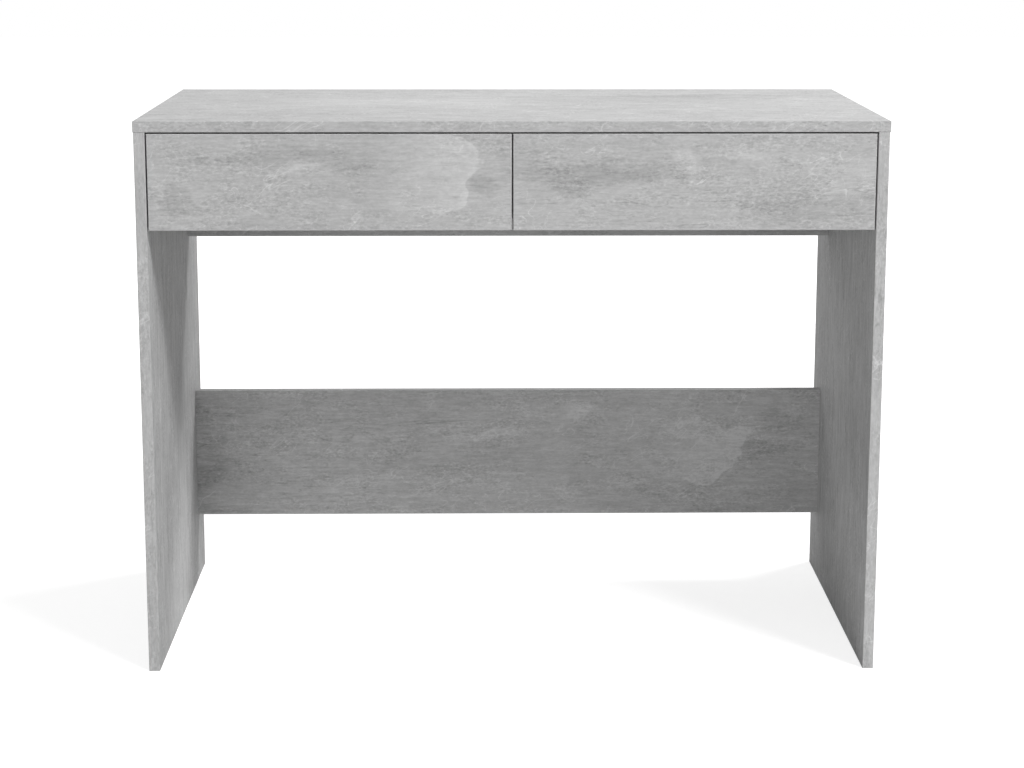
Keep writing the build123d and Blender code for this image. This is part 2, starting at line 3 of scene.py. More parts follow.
import bmesh
import bpy
import numpy as np
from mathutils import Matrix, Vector


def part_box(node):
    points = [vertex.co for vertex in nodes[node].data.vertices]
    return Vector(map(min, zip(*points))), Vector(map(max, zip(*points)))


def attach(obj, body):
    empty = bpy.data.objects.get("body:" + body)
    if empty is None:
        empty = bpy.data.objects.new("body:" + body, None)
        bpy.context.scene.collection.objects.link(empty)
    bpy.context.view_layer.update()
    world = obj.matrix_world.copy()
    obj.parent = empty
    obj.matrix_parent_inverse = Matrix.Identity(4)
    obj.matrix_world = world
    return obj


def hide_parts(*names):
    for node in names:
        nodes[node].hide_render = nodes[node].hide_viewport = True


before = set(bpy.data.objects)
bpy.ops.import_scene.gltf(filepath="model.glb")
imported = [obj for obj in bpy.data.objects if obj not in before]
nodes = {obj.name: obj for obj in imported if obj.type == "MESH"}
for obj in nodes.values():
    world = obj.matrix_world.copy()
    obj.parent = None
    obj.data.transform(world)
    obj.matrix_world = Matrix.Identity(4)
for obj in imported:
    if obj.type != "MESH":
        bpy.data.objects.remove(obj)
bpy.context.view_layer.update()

scene = bpy.context.scene
print("frame loaded:", len(nodes), "nodes")

for spare in ("Cube", "Light", "Camera"):
    if spare in bpy.data.objects:
        bpy.data.objects.remove(bpy.data.objects[spare])

view = {
    "place": (-0.0410, -3.1237, 1.0516),
    "lookDown": 10.336,   # degrees below level
    "turn": -0.798,       # degrees, to the right
    "roll": -0.05,
    "lens": 76.15,
    "shift": -0.085,
}

camera = bpy.data.objects.new("studioCamera", bpy.data.cameras.new("studioCamera"))
camera.location = view["place"]
camera.rotation_euler = [math.radians(a) for a in (90 - view["lookDown"], view["roll"], view["turn"])]
camera.data.lens = view["lens"]
camera.data.sensor_width = 36
camera.data.shift_y = view["shift"]
camera.data.clip_end = 100
scene.collection.objects.link(camera)
scene.camera = camera

lighting = {
    "key": {"towards": (0.50, -0.50, 0.70), "distance": 11.0, "power": 806, "size": 3.0},
    "front": {"towards": (-0.20, -0.96, 0.20), "distance": 8.0, "power": 64, "size": 3.0},
    "rear": {"towards": (0.52, 0.34, 0.66), "distance": 6.0, "power": 165, "size": 1.5},
    "fill": {"towards": (-0.62, 0.62, 0.45), "distance": 7.0, "power": 34, "size": 3.5},
    "aim": (0, 0, 0.45),  # every lamp faces this point, a little above the middle of the desk
    "sky": 0.37,          # strength of the plain white surroundings
}


# A disc lamp at its distance from the aim, and facing it
def lamp(name, settings):
    light = bpy.data.lights.new(name, "AREA")
    light.shape = "DISK"
    light.size = settings["size"]
    light.energy = settings["power"]
    stand = bpy.data.objects.new(name, light)
    away = Vector(settings["towards"]).normalized()
    stand.location = Vector(lighting["aim"]) + away * settings["distance"]
    stand.rotation_euler = away.to_track_quat("Z", "Y").to_euler()
    scene.collection.objects.link(stand)


for place in ("key", "front", "rear", "fill"):
    lamp(place + "Lamp", lighting[place])
scene.view_settings.view_transform = "Standard"
scene.view_settings.look = "None"
print("camera and lamps stand")


class Wire:  # what comes out of a node, written into sums like a number
    def __init__(self, finish, socket):
        self.finish = finish
        self.socket = socket

    def sum(self, operation, first, second):
        vectors = [w for w in (first, second) if isinstance(w, Wire) and w.socket.type == "VECTOR"]
        kind = "ShaderNodeVectorMath" if vectors else "ShaderNodeMath"
        return self.finish.add(kind, {"operation": operation}, {0: first, 1: second})

    def __add__(self, other):
        return self.sum("ADD", self, other)

    def __radd__(self, other):
        return self.sum("ADD", other, self)

    def __sub__(self, other):
        return self.sum("SUBTRACT", self, other)

    def __rsub__(self, other):
        return self.sum("SUBTRACT", other, self)

    def __mul__(self, other):
        return self.sum("MULTIPLY", self, other)

    def __rmul__(self, other):
        return self.sum("MULTIPLY", other, self)

    def __abs__(self):
        return self.finish.add("ShaderNodeMath", {"operation": "ABSOLUTE"}, {0: self})


class Finish:  # the nodes of a material, or of the world, being put together
    def __init__(self, owner):
        owner.use_nodes = True
        self.owner = owner
        self.tree = owner.node_tree
        self.tree.nodes.clear()
        self.place = self.add("ShaderNodeTexCoord", output="Object")

    # Any node: its type, its settings, then the values or links of its sockets
    def add(self, kind, settings=None, values=None, output=0):
        node = self.tree.nodes.new(kind)
        for name, value in (settings or {}).items():
            setattr(node, name, value)
        for name, value in (values or {}).items():
            socket = node.inputs[name]
            if isinstance(value, Wire):
                self.tree.links.new(value.socket, socket)
            elif socket.type == "VECTOR" and np.isscalar(value):
                socket.default_value = (value,) * 3
            elif socket.type == "RGBA":
                socket.default_value = (value,) * 3 + (1,) if np.isscalar(value) else (*value, 1)
            else:
                socket.default_value = value
        return Wire(self, node.outputs[output]) if node.outputs else None

    def noise(self, point, scale, detail=3, roughness=0.6, distortion=0, output="Fac"):
        return self.add("ShaderNodeTexNoise", {}, {
            "Vector": point, "Scale": scale, "Detail": detail,
            "Roughness": roughness, "Distortion": distortion}, output)

    def cells(self, point, scale, feature):
        return self.add("ShaderNodeTexVoronoi", {"feature": feature}, {
            "Vector": point, "Scale": scale, "Randomness": 1}, "Distance")

    # 0 below low, 1 above high and a smooth step between; low may be the larger
    def band(self, value, low, high):
        return self.add("ShaderNodeMapRange", {"interpolation_type": "SMOOTHSTEP"}, {
            "Value": value, "From Min": low, "From Max": high})

    def between(self, factor, first, second):
        return self.add("ShaderNodeMix", {"data_type": "RGBA"}, {0: factor, 6: first, 7: second}, 2)

    def size(self, vector):
        return self.add("ShaderNodeVectorMath", {"operation": "LENGTH"}, {0: vector}, "Value")

    def axis(self, name):
        return self.add("ShaderNodeSeparateXYZ", {}, {0: self.place}, name)

    # The shader itself: fixed numbers go straight on its sockets
    def shade(self, colour, roughness, height, depth, **fixed):
        values = {"Base Color": colour, "Roughness": roughness}
        values.update({name.replace("_", " "): value for name, value in fixed.items()})
        values["Normal"] = self.add(
            "ShaderNodeBump", {}, {"Strength": 1.0, "Distance": depth, "Height": height})
        surface = self.add("ShaderNodeBsdfPrincipled", {}, values)
        self.add("ShaderNodeOutputMaterial", {}, {"Surface": surface})
        return self.owner


# The surroundings light the desk evenly; looked at, they are plain white
sky = bpy.data.worlds.new("paleStudio")
scene.world = sky
air = Finish(sky)
lit = air.add("ShaderNodeBackground", {}, {"Color": 1.0, "Strength": lighting["sky"]})
seen = air.add("ShaderNodeBackground", {}, {"Color": 1.0})
eye = air.add("ShaderNodeLightPath", output="Is Camera Ray")
split = air.add("ShaderNodeMixShader", {}, {0: eye, 1: lit, 2: seen})
air.add("ShaderNodeOutputWorld", {}, {"Surface": split})

ground = {
    "reach": 14.0,
    "tone": 0.56,
    "mottle": 0.02,        # how far the paper's fibres stray from that tone
    "glow": 0.74,          # what the eye sees on top of the lit paper, near the desk
    "farGlow": 0.95,
    "fading": (0.9, 2.4),  # from the near glow to the far one
}

floorFinish = Finish(bpy.data.materials.new("palePaper"))
fibres = floorFinish.noise(floorFinish.place, 90, 4)
tones = (ground["tone"] - ground["mottle"], ground["tone"] + ground["mottle"])
paper = floorFinish.add("ShaderNodeBsdfDiffuse", {}, {"Color": floorFinish.between(fibres, *tones)})
eye = floorFinish.add("ShaderNodeLightPath", output="Is Camera Ray")
away = floorFinish.band(floorFinish.size(floorFinish.place), *ground["fading"])
strength = (ground["glow"] + away * (ground["farGlow"] - ground["glow"])) * eye
glow = floorFinish.add("ShaderNodeEmission", {}, {"Color": 1.0, "Strength": strength})
both = floorFinish.add("ShaderNodeAddShader", {}, {0: paper, 1: glow})
floorFinish.add("ShaderNodeOutputMaterial", {}, {"Surface": both})

floorMesh = bpy.data.meshes.new("studioFloor")
corners = np.array([(-1, -1, 0), (1, -1, 0), (1, 1, 0), (-1, 1, 0)]) * ground["reach"]
floorMesh.from_pydata(corners.tolist(), [], [(0, 1, 2, 3)])
floorMesh.materials.append(floorFinish.owner)
floor = bpy.data.objects.new("studioFloor", floorMesh)
scene.collection.objects.link(floor)
print("floor laid")


decor = {
    "dark": (0.300, 0.300, 0.300), "light": (0.670, 0.670, 0.670),
    "tone": 0.475,         # 0 is all dark, 1 all light
    "blotch": 0.36,        # hand-sized clouds
    "cloud": 0.40,
    "streak": 0.46,        # long thin lines
    "fibre": 0.62,
    "grit": 0.80,          # stronger where the cloud is dark
    "contour": 0.06,       # step in tone along wavy boundaries
    "rim": 0.07,           # light line that follows a bright mark's edge
    "scratch": 0.30,
    "net": 0.14,           # crackle of light lines in the darker parts
    "crack": 0.30,         # dark hairlines along the grain
    "pore": 0.25,
    "roughness": 0.64, "shine": 0.3,
    "relief": 0.00005,
}
grainAxis = {"X": (1, 0, 0), "Y": (0, 1, 0), "Z": (0, 0, 1)}
# Each layer of noise: its scale along the grain as a share of its scale across,
# then that scale, detail, roughness and distortion
layers = {
    "blotch": (0.35, 7, 4, 0.6, 0.7),
    "cloud": (0.45, 30, 5, 0.68, 0.5),
    "streak": (0.06, 170, 3, 0.7, 0),
    "fibre": (0.2, 300, 2, 0.65, 0),
    "grit": (0.55, 430, 2, 0.6, 0),
    "bank": (0.45, 9, 5, 0.55, 1.1),
    "hair": (0.10, 42, 3, 0.6, 0.4),
}
scratches = {"slants": ((0.45, 0.010), (-0.9, 0.008)),  # angle and width of each set
             "long": 8, "across": 30}


# The decor on Object coordinates; marks are soft patches, each with a middle, half sizes and a change of
# tone; most marks are decor, and some are painted light and painted shade
def concrete(name, grain, shift, marks=(), tone=0.0, bold=1.0, fine=1.0):
    finish = Finish(bpy.data.materials.new(name))
    place = finish.place + shift

    def drawn(share):
        return place * tuple(1 - np.array(grainAxis[grain]) * (1 - share))

    def layer(name, finer=1.0):
        share, scale, *rest = layers[name]
        return finish.noise(drawn(share), scale * finer, *rest)

    blotch, cloud, grit = layer("blotch"), layer("cloud"), layer("grit")
    streak, fibre = layer("streak", fine), layer("fibre", fine)
    clouds = (blotch - 0.5) * decor["blotch"] + (cloud - 0.5) * decor["cloud"]
    lines = (streak - 0.5) * decor["streak"] + (fibre - 0.5) * decor["fibre"]
    value = decor["tone"] + tone + (clouds + lines) * bold
    dim = finish.band(cloud, 0.56, 0.42)
    value = value + (grit - 0.5) * (decor["grit"] * bold * (0.45 + 0.8 * dim))

    # wavy boundaries between two tones
    bank = layer("bank")
    value = value + (finish.band(bank, 0.485, 0.50) - finish.band(bank, 0.50, 0.60)) * decor["contour"]

    # light scratches, in two slanting sets that come and go
    some = finish.band(finish.noise(place, 13, 2, 0.5), 0.49, 0.60)
    for turn, width in scratches["slants"]:
        slanted = finish.add("ShaderNodeVectorRotate", {"rotation_type": "EULER_XYZ"}, {
            "Vector": place, "Rotation": (turn, turn, turn)})
        slanted = slanted * (scratches["long"], scratches["across"], scratches["across"])
        line = abs(finish.noise(slanted, 1.0, 2, 0.55, 0.6) - 0.5)
        value = value + finish.band(line, width, 0) * some * decor["scratch"]

    # fine crackle in the darker parts
    gap = finish.cells(drawn(0.5) + (cloud - 0.5) * 0.03, 120, "DISTANCE_TO_EDGE")
    value = value + finish.band(gap, 0.11, 0.01) * dim * decor["net"]

    # dark hairlines and pores
    hair = abs(layer("hair") - 0.5)
    value = value - finish.band(hair, 0.010, 0) * finish.band(blotch, 0.50, 0.60) * decor["crack"]
    spot = finish.cells(drawn(0.45), 150, "F1")
    value = value - finish.band(spot, 0.2, 0.05) * finish.band(fibre, 0.5, 0.6) * decor["pore"]

    if marks:
        sway = finish.noise(place, 11, 4, 0.5, output="Color")
        sway = finish.add("ShaderNodeVectorMath", {"operation": "SUBTRACT"}, {0: sway, 1: 0.5})
        swayed = finish.place + sway * (0.16, 0.10, 0.09)
        ragged = (fibre - 0.5) * 0.5 + (cloud - 0.5) * 0.6
    for mark in marks:
        part = finish.size((swayed - mark["middle"]) * tuple(1 / r for r in mark["half"]))
        if "fade" in mark:  # a bank: sharp at its rim, dying away along x
            dying = finish.band(finish.axis("X"), *mark["fade"])
            rim = finish.band(part, 0.80, 0.97) * finish.band(part, 1.03, 0.98)
            value = value + (finish.band(part, 1.03, 0.97) * mark["tone"] + rim * decor["rim"]) * dying
        else:
            value = value + finish.band(part + ragged, 1.3, 0.4) * mark["tone"]

    value = finish.add("ShaderNodeClamp", {}, {"Value": value})
    colour = finish.between(value, decor["dark"], decor["light"])
    rough = decor["roughness"] + (fibre - 0.5) * 0.2
    relief = streak * 0.5 + grit * 0.35 + fibre * 0.5
    return finish.shade(colour, rough, relief, decor["relief"], Specular_IOR_Level=decor["shine"])


far = 10.0  # half size of a mark across the board it lies on
frontMarks = [
    # left front: a bright tongue with a wavy right end, then a dark streak
    {"middle": (-0.135, 0, 0.700), "half": (0.085, far, 0.052), "tone": 0.20,
     "fade": (-0.20, -0.065)},
    {"middle": (-0.028, 0, 0.681), "half": (0.030, far, 0.009), "tone": -0.24},
    {"middle": (-0.305, 0, 0.716), "half": (0.125, far, 0.018), "tone": -0.16},
    {"middle": (-0.275, 0, 0.690), "half": (0.050, far, 0.008), "tone": 0.14},
    {"middle": (-0.465, 0, 0.650), "half": (0.025, far, 0.030), "tone": -0.2},
    # right front: dark mottle left of the middle, light patch, dark lower right
    {"middle": (0.095, 0, 0.694), "half": (0.095, far, 0.020), "tone": -0.24},
    {"middle": (0.213, 0, 0.706), "half": (0.026, far, 0.022), "tone": 0.18},
    {"middle": (0.315, 0, 0.716), "half": (0.034, far, 0.009), "tone": 0.12},
    {"middle": (0.395, 0, 0.650), "half": (0.095, far, 0.027), "tone": -0.18},
]
# marks on the brace: most are decor, and two are painted light and painted shade
braceMarksWithPaintedLightAndShade = [
    {"middle": (0.270, 0, 0.205), "half": (0.085, far, 0.052), "tone": 0.24,
     "fade": (0.20, 0.33)},
    {"middle": (0.385, 0, 0.198), "half": (0.045, far, 0.012), "tone": -0.2},
    {"middle": (0.420, 0, 0.245), "half": (0.060, far, 0.022), "tone": -0.16},
    {"middle": (0.125, 0, 0.268), "half": (0.028, far, 0.016), "tone": 0.26},
    {"middle": (-0.030, 0, 0.225), "half": (0.055, far, 0.012), "tone": 0.2},
    # painted shade: the brace darkened at its left end, in the corner where it meets the left side panel
    {"middle": (-0.475, 0, 0.200), "half": (0.030, far, 0.120), "tone": -0.16},
    {"middle": (-0.090, 0, 0.145), "half": (0.200, far, 0.030), "tone": 0.12},
    # painted light: a broad lighter patch over the right half of the brace
    {"middle": (0.230, 0, 0.200), "half": (0.260, far, 0.200), "tone": 0.10},
]
topMarks = [
    {"middle": (-0.110, 0.02, 0), "half": (0.240, 0.110, far), "tone": 0.14},
    {"middle": (0.300, 0.12, 0), "half": (0.160, 0.030, far), "tone": -0.14},
    {"middle": (-0.340, -0.05, 0), "half": (0.120, 0.050, far), "tone": 0.08},
]
sidePaintedLightAndShade = [
    # painted light on the left panel's inner face, where the key lamp falls
    {"middle": (-0.489, -0.07, 0.20), "half": (0.01, 0.05, 0.15), "tone": 0.10},
    # painted shade on the right panel's inner face, which lies in shade
    {"middle": (0.489, -0.10, 0.30), "half": (0.01, 0.06, 0.20), "tone": -0.10},
]

laminates = {
    "desk_top": concrete("concreteTop", "X", (0.31, 1.2, 0.4), topMarks, bold=1.35),
    "side_panel": concrete("concreteSidesWithPaintedLightAndShade", "Z", (2.1, 0.7, 3.3), sidePaintedLightAndShade, bold=1.35, fine=0.5),
    "drawer_front": concrete("concreteFronts", "X", (4.4, 0.2, 1.9), frontMarks),
    "lower_brace": concrete("concreteBraceWithPaintedLightAndShade", "X", (5.0, 2.6, 0.8), braceMarksWithPaintedLightAndShade, bold=1.25),
    "rear_apron": concrete("concreteApron", "X", (7.7, 1.1, 2.2)),
    "centre_partition": concrete("concretePartition", "Y", (6.2, 3.0, 5.2)),
}
edges = {
    "desk_top_edging": concrete("edgeTop", "X", (3.7, 2.4, 6.1), (), -0.02),
    "side_edging": concrete("edgeSides", "Z", (8.8, 5.1, 0.3), (), 0.0),
    "front_edging": concrete("edgeFronts", "X", (1.4, 6.8, 2.9), (), 0.02),
    "brace_edging": concrete("edgeBrace", "X", (9.1, 4.7, 1.3), (), 0.0),
    "apron_edging": concrete("edgeApron", "X", (2.9, 8.3, 4.2), (), 0.0),
    "partition_edging": concrete("edgePartition", "Y", (0.7, 9.9, 3.8), (), 0.0),
}
print("decor mixed:", len(laminates) + len(edges), "boards and strips")


# A deep and a pale shade of one colour
def shades(base, deep, pale):
    return tuple(c * deep for c in base), tuple(min(1, c * pale) for c in base)


foil = {"colour": (0.47, 0.47, 0.465), "roughness": 0.52, "relief": 0.00006, "shine": 0.35}


def foilFinish():  # light grey foil with a fine linen print, a little rubbed and dusty in clouds
    finish = Finish(bpy.data.materials.new("drawerFoil"))
    threads = finish.noise(finish.place * (1, 0.06, 1), 820, 2)
    weave = finish.noise(finish.place * (1, 1, 0.05), 760, 2)
    pattern = finish.noise(finish.place * (1, 0.18, 1), 190, 3, 0.65)
    cloud = finish.noise(finish.place * (0.6, 0.4, 1), 22, 4)
    tone = 0.5 + (threads - 0.5) * 0.7 + (weave - 0.5) * 0.6 + (pattern - 0.5) * 0.5 + (cloud - 0.5) * 0.5
    colour = finish.between(tone, *shades(foil["colour"], 0.8, 1.18))
    rough = foil["roughness"] + (threads - 0.5) * 0.25
    return finish.shade(colour, rough, threads + weave, foil["relief"], Specular_IOR_Level=foil["shine"])


hardboard = {"colour": (0.39, 0.39, 0.38), "roughness": 0.42, "relief": 0.0001, "shine": 0.4}


def hardboardFinish():  # lacquered face of pressed fibres, with darker and lighter flecks
    finish = Finish(bpy.data.materials.new("hardboard"))
    felt = finish.noise(finish.place, 380, 4, 0.7)
    flecks = finish.noise(finish.place * (1, 0.4, 1), 130, 4)
    long = finish.band(finish.noise(finish.place * (0.25, 1, 1), 300, 2), 0.58, 0.68)
    tone = 0.5 + (felt - 0.5) * 0.9 + (flecks - 0.5) * 0.7 - long * 0.25
    colour = finish.between(tone, *shades(hardboard["colour"], 0.74, 1.22))
    rough = hardboard["roughness"] + (felt - 0.5) * 0.25
    return finish.shade(colour, rough, felt, hardboard["relief"], Specular_IOR_Level=hardboard["shine"])


beech = {"colour": (0.55, 0.37, 0.21), "roughness": 0.62, "relief": 0.00006}


def beechFinish():  # straight grain with short dark rays
    finish = Finish(bpy.data.materials.new("beech"))
    grain = finish.noise(finish.place * (0.5, 1, 1), 420, 3)
    ray = finish.band(finish.noise(finish.place * (1, 1, 0.3), 900, 1), 0.56, 0.66)
    colour = finish.between(grain, *shades(beech["colour"], 0.8, 1.15))
    colour = finish.between(ray * 0.5, colour, tuple(c * 0.6 for c in beech["colour"]))
    return finish.shade(colour, beech["roughness"] + (grain - 0.5) * 0.2, grain, beech["relief"])


zinc = {"name": "zincCasting", "colour": (0.50, 0.51, 0.53), "roughness": 0.46, "spread": 0.2,
        "relief": 0.00008}
steel = {"name": "zincPlatedSteel", "colour": (0.62, 0.63, 0.65), "roughness": 0.27, "spread": 0.16,
         "relief": 0.00003}


def metalFinish(look):  # bare metal with clouds in its shine and some dirt
    finish = Finish(bpy.data.materials.new(look["name"]))
    cloud = finish.noise(finish.place, 320, 4)
    fine = finish.noise(finish.place, 1900, 2)
    dirt = finish.band(finish.noise(finish.place, 150, 5), 0.5, 0.66)
    colour = finish.between(cloud, *shades(look["colour"], 0.86, 1.1))
    colour = finish.between(dirt * 0.35, colour, tuple(c * 0.55 for c in look["colour"]))
    rough = look["roughness"] + (cloud - 0.5) * look["spread"] + dirt * 0.15
    return finish.shade(colour, rough, fine, look["relief"], Metallic=1.0)


coat = {"colour": (0.74, 0.74, 0.72), "bare": (0.36, 0.36, 0.37), "roughness": 0.36, "relief": 0.00006,
        # the rubbed levels, in metres: from and to where the rubbing grows, and how much
        "tracks": ((0.6386, 0.6378, 1.0), (0.6553, 0.6561, 0.7))}


def coatFinish():  # powder coat, rubbed to bare steel where the rollers run
    finish = Finish(bpy.data.materials.new("runnerCoat"))
    peel = finish.noise(finish.place, 700, 3)
    cloud = finish.noise(finish.place, 60, 3)
    scuff = finish.noise(finish.place * (1, 0.08, 1), 1100, 3)
    level = finish.axis("Z")
    lower, upper = (finish.band(level, first, last) * much for first, last, much in coat["tracks"])
    worn = finish.band(scuff, 0.5, 0.6) * (lower + upper) * 0.4
    colour = finish.between(cloud, *shades(coat["colour"], 0.93, 1.05))
    colour = finish.between(worn, colour, coat["bare"])
    return finish.shade(colour, coat["roughness"] + (peel - 0.5) * 0.16, peel, coat["relief"])


nylon = {"name": "nylon", "colour": (0.80, 0.80, 0.77), "roughness": 0.42, "relief": 0.00003}
capPlastic = {"name": "capPlastic", "colour": (0.40, 0.40, 0.395), "roughness": 0.45, "relief": 0.00003}


def mouldedFinish(look):  # faint flow marks and a fine moulded skin
    finish = Finish(bpy.data.materials.new(look["name"]))
    skin = finish.noise(finish.place, 2200, 2)
    flow = finish.noise(finish.place, 160, 3, 0.6, 1.2)
    colour = finish.between(flow, *shades(look["colour"], 0.9, 1.08))
    return finish.shade(colour, look["roughness"] + (flow - 0.5) * 0.15, skin, look["relief"])


finishes = {
    "foil": foilFinish(), "hardboard": hardboardFinish(), "beech": beechFinish(),
    "zinc": metalFinish(zinc), "steel": metalFinish(steel), "coat": coatFinish(),
    "nylon": mouldedFinish(nylon), "cap": mouldedFinish(capPlastic),
}
print("fitting finishes mixed")

# Which finish a CAD node takes, by the ending of its name; boards and their strips come first
nodeFinishes = list(edges.items()) + list(laminates.items()) + [
    ("_side", finishes["foil"]), ("drawer_back", finishes["foil"]), ("drawer_bottom", finishes["hardboard"]),
    ("dowels", finishes["beech"]), ("cam_caps", finishes["cap"]), ("cam_housings", finishes["zinc"]),
    ("drawer_cams", finishes["zinc"]), ("_runner", finishes["coat"]), ("_roller", finishes["nylon"]),
    ("", finishes["steel"]),
]
for name, node in nodes.items():
    node.data.materials.clear()
    node.data.materials.append(next(finish for ending, finish in nodeFinishes if name.endswith(ending)))
print("CAD nodes dressed")


# Corners of a node's box in millimetres: fittings are worked out so, until they are put in their mesh
def low(node):
    return np.array(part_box(node)[0]) * 1000


def high(node):
    return np.array(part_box(node)[1]) * 1000


plan = {
    "sideFace": low("right_side_panel")[0],            # inner face of the right side panel
    "partitionFace": high("centre_partition")[0],
    "underTop": high("right_side_panel")[2],
    "apronRear": high("rear_apron")[1],
    "braceRear": high("lower_brace")[1],
    "braceFoot": low("brace_edging")[2],
    "boxBottom": low("left_drawer_back")[2],
    "boxTop": high("left_drawer_back")[2],
    "boxRear": high("left_drawer_back")[1],
    "frontBack": low("left_drawer_outer_side")[1],
    "board": 15,
    "camInset": 24,        # from a board's end to its cam's middle
    "drawerBoard": 12,
    "rollerLevel": 6.7,    # above the bottom of the drawer box
    "axleInset": 12,       # from a runner's end to its roller
    "runnerRoom": 12.5,
    "sheet": 1.2,
    "innerShift": 16,      # keeps the screws on the partition's two faces apart
    "sink": 0.3,           # cams lie this much under the face
}
plan["runnerFront"] = low("left_outer_cabinet_runner")[1]
plan["frontAxle"] = plan["runnerFront"] + plan["axleInset"]
plan["rearAxle"] = plan["boxRear"] - plan["axleInset"]
plan["axleLevel"] = plan["boxBottom"] + plan["rollerLevel"]
xAxis, yAxis, zAxis = np.eye(3)


# Quads of a grid of rows and columns; a wrapped side joins its last line to its first
def gridFaces(rows, columns, wrapRows=False):
    r = np.arange(rows if wrapRows else rows - 1)[:, None] * columns
    below = (r + columns) % (rows * columns)
    c = np.arange(columns)[None, :]
    right = (c + 1) % columns
    return np.stack([r + c, r + right, below + right, below + c], -1).reshape(-1, 4)


# A turned shape: rows of (radius, height) carried round the axis, so that
# point = foot + height * axis + radius * (cos(angle) * side + sin(angle) * across).
# The first and the last row close to one point each; a loop joins the last row to the first.
def turned(rows, sites, steps, shape=None, loop=False):
    rows = np.asarray(rows, float)
    ring = rows if loop else rows[1:-1]
    angle, radius = np.meshgrid(np.arange(steps) * 2 * np.pi / steps, ring[:, 0])
    height = np.repeat(ring[:, 1:2], steps, axis=1)
    if shape is not None:
        radius, height = shape(radius, height, angle)
    foot, axis, side = (np.array([site[k] for site in sites], float)[:, None, None, :] for k in range(3))
    across = np.cross(axis, side)
    points = foot + height[..., None] * axis + (radius * np.cos(angle))[..., None] * side
    points = (points + (radius * np.sin(angle))[..., None] * across).reshape(len(sites), -1, 3)
    quads, tris = gridFaces(len(ring), steps, wrapRows=loop), np.zeros((0, 3), int)
    if not loop:
        tip = points.shape[1]
        ends = (foot + rows[[0, -1], 1][None, None, :, None] * axis).reshape(len(sites), 2, 3)
        points = np.concatenate([points, ends], 1)
        c = np.arange(steps)
        right, last = (c + 1) % steps, (len(ring) - 1) * steps
        tris = np.concatenate([np.stack([right, c, c * 0 + tip], 1),
                               np.stack([last + c, last + right, c * 0 + tip + 1], 1)])
    first = np.arange(len(sites))[:, None, None] * points.shape[1]
    faces = (quads[None] + first).reshape(-1, 4), (tris[None] + first).reshape(-1, 3)
    return points.reshape(-1, 3), faces


# A folded strip: a closed section of (out, up) carried along y, point = corner + out * way + up * z + y,
# where shape may bend the section a little at each station; its ends are closed by pairs across the sheet
def carried(section, stations, corner, way, shape):
    out, up = (np.repeat(section[None, :, k], len(stations), 0) for k in range(2))
    run = np.repeat(stations[:, None], len(section), 1)
    out, up = shape(out, up, run)
    points = np.stack([corner[0] + way * out, run, corner[1] + up], -1).reshape(-1, 3)
    n = len(section)
    k = np.arange(n // 2 - 1)
    cap = np.stack([k, k + 1, n - 2 - k, n - 1 - k], 1)
    return points, (gridFaces(len(stations), n), cap[:, ::-1], cap + (len(stations) - 1) * n)


# The section of a folded sheet, out along one side and back along the other. At each fold
# point = centre + (start * cos(angle) + ahead * sin(angle)) * radius, a quarter turn.
def sheetSection(path, thick, bend, steps=6):
    path = np.asarray(path, float)
    middle = bend + thick / 2
    leftOf = lambda v: np.array([-v[1], v[0]])
    sides = []
    for offset in (thick / 2, -thick / 2):
        side = []
        for k in range(len(path)):
            before = path[k] - path[k - 1] if k else path[1] - path[0]
            after = path[k + 1] - path[k] if k < len(path) - 1 else before
            before, after = before / np.hypot(*before), after / np.hypot(*after)
            turn = np.sign(before[0] * after[1] - before[1] * after[0])
            if turn == 0:  # an end, or a point along a flat
                side.append([path[k] + offset * leftOf(after)])
                continue
            centre = path[k] - before * middle + turn * middle * leftOf(before)
            start = -turn * leftOf(before)
            angle = np.linspace(0, turn * np.pi / 2, steps)[:, None]
            spoke = start * np.cos(angle) + leftOf(start) * np.sin(angle)
            side.append(centre + spoke * (middle - turn * offset))
        sides.append(np.concatenate(side))
    return np.concatenate([sides[0], sides[1][::-1]])


# Puts the shapes in one mesh with faces outward, rounded to the eye up to an edge of 35 degrees
def piece(name, shapes, finish, body, replaced):
    points, faces, start = [], [], 0
    for some, kinds in shapes:
        points.append(some)
        faces += [face for these in kinds for face in (these + start).tolist()]
        start += len(some)
    mesh = bpy.data.meshes.new(name)
    mesh.from_pydata((np.concatenate(points) / 1000).tolist(), [], faces)
    work = bmesh.new()
    work.from_mesh(mesh)
    bmesh.ops.recalc_face_normals(work, faces=work.faces)
    work.to_mesh(mesh)
    work.free()
    mesh.shade_smooth()
    mesh.set_sharp_from_angle(angle=math.radians(35))
    mesh.materials.append(finishes[finish])
    made = bpy.data.objects.new(name, mesh)
    scene.collection.objects.link(made)
    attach(made, body)
    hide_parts(replaced)


# Cuts a cross recess into a face: deeper where the point lies within the arms
def crossCut(look):
    def shape(radius, height, angle):
        x, y = np.abs(radius * np.cos(angle)), np.abs(radius * np.sin(angle))
        inside = np.clip((look["slot"] / 2 + 0.08 - np.minimum(x, y)) / 0.16, 0, 1)
        inside = inside * np.clip((look["arm"] - np.maximum(x, y)) / 0.25, 0, 1)
        return radius, np.where(height < look["faceBelow"], height + look["recess"] * inside, height)
    return shape


# Raises a thread: the radius follows a triangle wave that climbs one pitch in each turn
def threaded(look, head=None):
    start, end = look["thread"]
    core, crest, pitch = look["core"], look["crest"], look["pitch"]

    def shape(radius, height, angle):
        if head is not None:
            radius, height = head(radius, height, angle)
        wave = np.abs(((height / pitch - angle / (2 * np.pi)) % 1) * 2 - 1)
        fade = np.clip((height - start) / pitch, 0, 1) * np.clip((end - height) / pitch, 0, 1)
        thread = core + (crest - core) * np.clip(wave * 1.6 - 0.5, 0, 1) * fade
        return np.where((height > start) & (height < end), thread, radius), height
    return shape


threadStep = 0.2  # from row to row of a shank, so that its thread has enough of them


